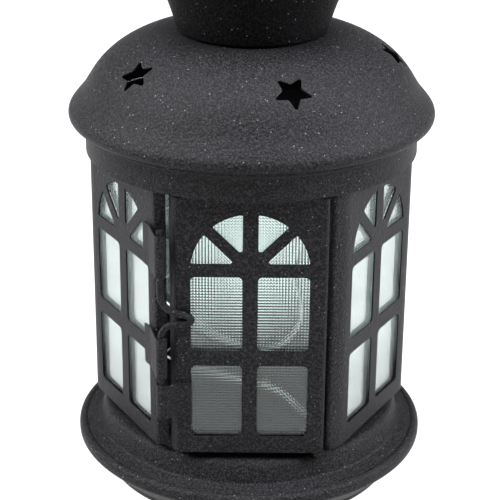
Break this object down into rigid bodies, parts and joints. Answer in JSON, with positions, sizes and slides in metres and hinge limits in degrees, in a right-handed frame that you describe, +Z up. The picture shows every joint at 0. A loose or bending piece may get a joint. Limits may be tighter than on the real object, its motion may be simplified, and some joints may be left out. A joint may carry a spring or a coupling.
{
  "type": "solar garden lantern",
  "caption": "Black metal garden lantern with arched glass windows, a hinged front door with a wire latch, a domed roof with star holes and a solar light unit on top.",
  "frame": {"origin": "on the ground under the centre of the base", "axes": "+Z up, the door faces -Y, the door's hinge is on its +X side"},
  "size_m": [0.14, 0.14, 0.2064],
  "materials": {
    "black_powder_coat": "satin powder coat with a fine grain",
    "patterned_glass": "clear with a fine square pressed pattern",
    "bright_steel": "zinc plated",
    "black_plastic": "fine texture",
    "solar_cell": "dark blue cell under resin",
    "clear_cover": "clear",
    "rubber": "matte",
    "green_board": "solder mask",
    "battery_wrap": "shrink wrap",
    "silver_wire": "bright lacquered wire",
    "led_resin": "clear resin drop"
  },
  "bodies": {
    "lantern": {"back_bottom_holder": "black_powder_coat", "back_glass": "patterned_glass", "back_top_holder": "black_powder_coat", "base_pan": "black_powder_coat", "battery": "battery_wrap", "battery_cover": "black_plastic", "body_shell": "black_powder_coat", "body_top_ring": "black_powder_coat", "cable_grommet": "rubber", "circuit_board": "green_board", "cover_seal": "rubber", "floor_tray": "black_powder_coat", "led_bead_1": "led_resin", "led_bead_2": "led_resin", "led_bead_3": "led_resin", "led_bead_4": "led_resin", "led_bead_5": "led_resin", "led_bead_6": "led_resin", "led_bead_7": "led_resin", "led_bead_8": "led_resin", "led_cable": "silver_wire", "left_back_bottom_holder": "black_powder_coat", "left_back_glass": "patterned_glass", "left_back_top_holder": "black_powder_coat", "left_cover_screw": "bright_steel", "left_cup_rivet": "bright_steel", "left_front_bottom_holder": "black_powder_coat", "left_front_glass": "patterned_glass", "left_front_top_holder": "black_powder_coat", "lower_hinge_pin": "bright_steel", "lower_hinge_plate": "black_powder_coat", "lower_latch_knuckle": "black_powder_coat", "negative_contact": "bright_steel", "positive_contact": "bright_steel", "right_back_bottom_holder": "black_powder_coat", "right_back_glass": "patterned_glass", "right_back_top_holder": "black_powder_coat", "right_cover_screw": "bright_steel", "right_cup_rivet": "bright_steel", "right_front_bottom_holder": "black_powder_coat", "right_front_glass": "patterned_glass", "right_front_top_holder": "black_powder_coat", "roof_dome": "black_powder_coat", "roof_skirt": "black_powder_coat", "solar_cell": "solar_cell", "solar_cover": "clear_cover", "solar_cup": "black_powder_coat", "solar_housing": "black_plastic", "upper_hinge_pin": "bright_steel", "upper_hinge_plate": "black_powder_coat", "upper_latch_knuckle": "black_powder_coat"},
    "door": {"door_frame": "black_powder_coat", "door_glass": "patterned_glass", "door_bottom_holder": "black_powder_coat", "door_top_holder": "black_powder_coat", "latch_tab": "black_powder_coat"},
    "latch": {"latch_wire": "black_powder_coat"},
    "switch": {"power_switch": "black_plastic"}
  },
  "joints": [
    {"name": "door_hinge", "type": "hinge", "parent": "lantern", "child": "door", "pos_m": [0.0266, -0.0553, 0.081], "axis": [0, 0, 1], "range_deg": [0, 110]},
    {"name": "latch_lift", "type": "slide", "parent": "lantern", "child": "latch", "axis": [0, 0, 1], "range_m": [0, 0.0088]},
    {"name": "switch_slide", "type": "slide", "parent": "lantern", "child": "switch", "axis": [1, 0, 0], "range_m": [0, 0.003]}
  ]
}
